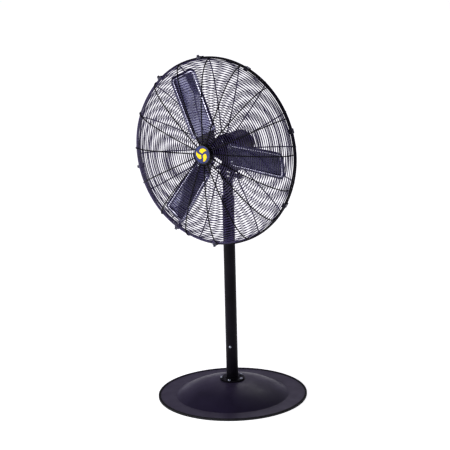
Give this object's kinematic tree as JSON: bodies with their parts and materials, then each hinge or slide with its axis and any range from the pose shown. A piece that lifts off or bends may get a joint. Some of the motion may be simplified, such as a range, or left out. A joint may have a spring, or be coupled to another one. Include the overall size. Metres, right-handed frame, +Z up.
{
  "type": "pedestal fan",
  "caption": "Round caged propeller fan head, tilting and swivelling on a telescoping pole with a domed round floor base.",
  "frame": {"origin": "on the floor under the pole axis, at the centre of the round base", "axes": "+Z up the pole, -Y towards the side the fan blows to, +X to the right seen from the front"},
  "size_m": [0.832, 0.655, 1.5799],
  "materials": {
    "base_paint": "semi-gloss black powder coat with a faint violet cast",
    "rubber": "matt black extruded rubber",
    "zinc_steel": "bright zinc plate",
    "black_paint": "semi-gloss black powder coat",
    "motor_paint": "satin black enamel on cast and rolled metal",
    "wire_paint": "black powder-coated wire",
    "blade_metal": "glossy dark pressed sheet",
    "black_plastic": "moulded black plastic",
    "steel": "machined and laminated steel",
    "copper": "varnished copper wire",
    "capacitor_can": "drawn can",
    "badge": "printed slate blue disc with a yellow mark and a black rim",
    "clip_steel": "black-finished spring steel"
  },
  "bodies": {
    "base": {"base_shell": "base_paint", "base_edge_trim": "rubber", "backing_plate": "zinc_steel", "pole_flange": "black_paint", "flange_bolt_1": "zinc_steel", "flange_bolt_2": "zinc_steel", "flange_bolt_3": "zinc_steel", "flange_bolt_4": "zinc_steel", "flange_bolt_5": "zinc_steel", "outer_tube": "black_paint", "pole_screw": "zinc_steel", "tube_collar": "black_paint"},
    "height_clamp": {"height_knob": "black_plastic"},
    "column": {"inner_tube": "black_paint", "swivel_screw": "zinc_steel"},
    "swivel_yoke": {"yoke": "black_paint"},
    "head": {"motor_bracket": "black_paint", "bracket_bolt_1": "zinc_steel", "bracket_bolt_2": "zinc_steel", "pivot_bolt": "zinc_steel", "motor_shell": "motor_paint", "front_bell": "motor_paint", "rear_bell": "motor_paint", "stator_core": "steel", "stator_winding": "copper", "front_bearing": "steel", "rear_bearing": "steel", "run_capacitor": "capacitor_can", "speed_switch": "black_plastic", "cable_gland": "black_plastic", "front_guard": "wire_paint", "rear_guard": "wire_paint", "centre_badge": "badge", "guard_mount_plate": "black_paint", "guard_screw_1": "zinc_steel", "guard_screw_2": "zinc_steel", "guard_screw_3": "zinc_steel"},
    "tilt_clamp": {"tilt_knob": "black_plastic"},
    "propeller": {"blade_hub": "black_paint", "motor_shaft": "steel", "rotor_core": "steel", "hub_set_screw": "zinc_steel", "blade_1": "blade_metal", "blade_2": "blade_metal", "blade_3": "blade_metal", "blade_1_rivet_1": "zinc_steel", "blade_1_rivet_2": "zinc_steel", "blade_2_rivet_1": "zinc_steel", "blade_2_rivet_2": "zinc_steel", "blade_3_rivet_1": "zinc_steel", "blade_3_rivet_2": "zinc_steel"},
    "speed_control": {"speed_knob": "black_plastic"},
    "clip_1": {"guard_clip_1": "clip_steel"},
    "clip_2": {"guard_clip_2": "clip_steel"},
    "clip_3": {"guard_clip_3": "clip_steel"},
    "clip_4": {"guard_clip_4": "clip_steel"},
    "clip_5": {"guard_clip_5": "clip_steel"},
    "clip_6": {"guard_clip_6": "clip_steel"},
    "clip_7": {"guard_clip_7": "clip_steel"},
    "clip_8": {"guard_clip_8": "clip_steel"}
  },
  "joints": [
    {"name": "height_slide", "type": "slide", "parent": "base", "child": "column", "axis": [0, 0, 1], "range_m": [-0.045, 0.3]},
    {"name": "height_knob_turn", "type": "hinge", "parent": "base", "child": "height_clamp", "pos_m": [0, 0, 0.9138], "axis": [-0.4226, 0.9063, 0], "range_deg": [0, 360]},
    {"name": "head_swivel", "type": "hinge", "parent": "column", "child": "swivel_yoke", "pos_m": [0, 0, 1.0083], "axis": [0, 0, 1], "range_deg": [-90, 90]},
    {"name": "head_tilt", "type": "hinge", "parent": "swivel_yoke", "child": "head", "pos_m": [0, 0, 1.035], "axis": [-1, 0, 0], "range_deg": [-7, 30]},
    {"name": "tilt_knob_turn", "type": "hinge", "parent": "head", "child": "tilt_clamp", "pos_m": [0, 0, 1.035], "axis": [1, 0, 0], "range_deg": [0, 360]},
    {"name": "blade_spin", "type": "hinge", "parent": "head", "child": "propeller", "pos_m": [0, -0.11493, 1.17047], "axis": [0, 0.9921, -0.1253], "continuous": true},
    {"name": "speed_knob_turn", "type": "hinge", "parent": "head", "child": "speed_control", "pos_m": [0, 0.13749, 1.17386], "axis": [0, 0.9921, -0.1253], "range_deg": [0, 210]},
    {"name": "clip_1_open", "type": "hinge", "parent": "head", "child": "clip_1", "pos_m": [0.1377, -0.02353, 1.55086], "axis": [-0.9426, 0.0418, 0.3312], "range_deg": [0, 100]},
    {"name": "clip_2_open", "type": "hinge", "parent": "head", "child": "clip_2", "pos_m": [0.3838, -0.05332, 1.31507], "axis": [-0.3665, 0.1166, 0.9231], "range_deg": [0, 100]},
    {"name": "clip_3_open", "type": "hinge", "parent": "head", "child": "clip_3", "pos_m": [0.37075, -0.09493, 0.98568], "axis": [0.4384, 0.1126, 0.8917], "range_deg": [0, 100]},
    {"name": "clip_4_open", "type": "hinge", "parent": "head", "child": "clip_4", "pos_m": [0.02159, -0.1239, 0.7564], "axis": [0.9986, 0.0066, 0.0519], "range_deg": [0, 100]},
    {"name": "clip_5_open", "type": "hinge", "parent": "head", "child": "clip_5", "pos_m": [-0.18083, -0.11873, 0.79725], "axis": [0.8988, -0.0549, -0.4349], "range_deg": [0, 100]},
    {"name": "clip_6_open", "type": "hinge", "parent": "head", "child": "clip_6", "pos_m": [-0.39003, -0.0891, 1.03184], "axis": [0.3256, -0.1185, -0.9381], "range_deg": [0, 100]},
    {"name": "clip_7_open", "type": "hinge", "parent": "head", "child": "clip_7", "pos_m": [-0.30894, -0.03801, 1.43626], "axis": [-0.6626, -0.0939, -0.7431], "range_deg": [0, 100]},
    {"name": "clip_8_open", "type": "hinge", "parent": "head", "child": "clip_8", "pos_m": [-0.11024, -0.02245, 1.55945], "axis": [-0.9636, -0.0335, -0.2651], "range_deg": [0, 100]}
  ]
}
